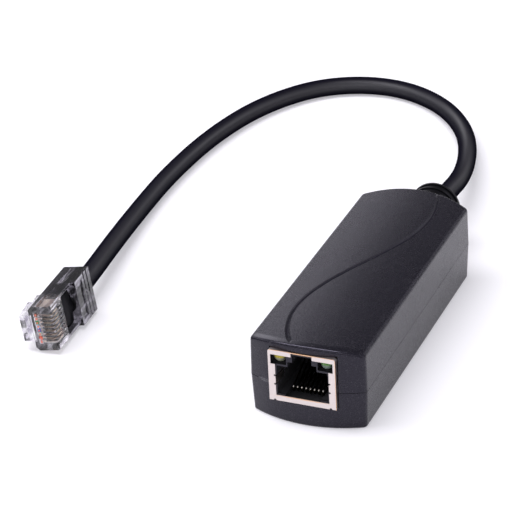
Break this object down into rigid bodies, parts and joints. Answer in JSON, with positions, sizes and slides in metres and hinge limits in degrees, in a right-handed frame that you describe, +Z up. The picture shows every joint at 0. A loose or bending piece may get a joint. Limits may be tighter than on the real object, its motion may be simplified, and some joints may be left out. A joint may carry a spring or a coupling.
{
  "type": "in-line power over ethernet converter",
  "caption": "Slim black two-shell network power converter with a shielded socket at one end and a short captive lead with a clear modular plug at the other.",
  "frame": {"origin": "middle of the housing's flat base, on the surface that it stands on", "axes": "+Z up, X across the housing, -Y towards the socket, +Y towards the lead"},
  "size_m": [0.0947, 0.1746, 0.0207],
  "materials": {
    "housing_plastic": "fine spark-eroded texture",
    "gland_rubber": "satin",
    "lead_jacket": "satin",
    "bright_plate": "bright plate on sheet metal",
    "socket_plastic": "satin",
    "gold_plate": "polished",
    "yellow_lens": "diffused",
    "green_lens": "diffused",
    "tinned_wire": "bright",
    "board_laminate": "lacquered",
    "chip_part_body": "matt",
    "ferrite": "matt",
    "bobbin_plastic": "satin",
    "winding_tape": "satin",
    "enamelled_copper": "gloss",
    "blue_coating": "satin",
    "capacitor_can": "satin sleeve",
    "chip_plastic": "matt",
    "clear_plastic": "clear",
    "bare_copper": "bare",
    "insulation_white_orange": "satin",
    "insulation_orange": "satin",
    "insulation_white_green": "satin",
    "insulation_blue": "satin",
    "insulation_white_blue": "satin",
    "insulation_green": "satin",
    "insulation_white_brown": "satin",
    "insulation_brown": "satin"
  },
  "bodies": {
    "root": {"board_wire_blue": "insulation_blue", "board_wire_brown": "insulation_brown", "board_wire_green": "insulation_green", "board_wire_orange": "insulation_orange", "board_wire_white_blue": "insulation_white_blue", "board_wire_white_brown": "insulation_white_brown", "board_wire_white_green": "insulation_white_green", "board_wire_white_orange": "insulation_white_orange", "cable_gland": "gland_rubber", "chip_parts": "chip_part_body", "circuit_board": "board_laminate", "control_chip": "chip_plastic", "feedback_coupler": "chip_plastic", "green_lamp": "green_lens", "inductor_core": "ferrite", "inductor_winding": "enamelled_copper", "input_bridge": "chip_plastic", "input_capacitor": "capacitor_can", "jack_shield": "bright_plate", "lamp_leads": "tinned_wire", "lower_shell": "housing_plastic", "network_lead": "lead_jacket", "network_transformer": "chip_plastic", "output_capacitor": "capacitor_can", "output_diode": "chip_plastic", "plug_body": "clear_plastic", "plug_contacts": "gold_plate", "plug_wire_blue": "insulation_blue", "plug_wire_brown": "insulation_brown", "plug_wire_cores": "bare_copper", "plug_wire_green": "insulation_green", "plug_wire_orange": "insulation_orange", "plug_wire_white_blue": "insulation_white_blue", "plug_wire_white_brown": "insulation_white_brown", "plug_wire_white_green": "insulation_white_green", "plug_wire_white_orange": "insulation_white_orange", "power_switch": "chip_plastic", "safety_capacitor": "blue_coating", "socket_contacts": "gold_plate", "socket_moulding": "socket_plastic", "spare_bridge": "chip_plastic", "surge_suppressor": "chip_plastic", "transformer_bobbin": "bobbin_plastic", "transformer_core": "ferrite", "transformer_winding": "winding_tape", "upper_shell": "housing_plastic", "yellow_lamp": "yellow_lens"}
  },
  "joints": []
}
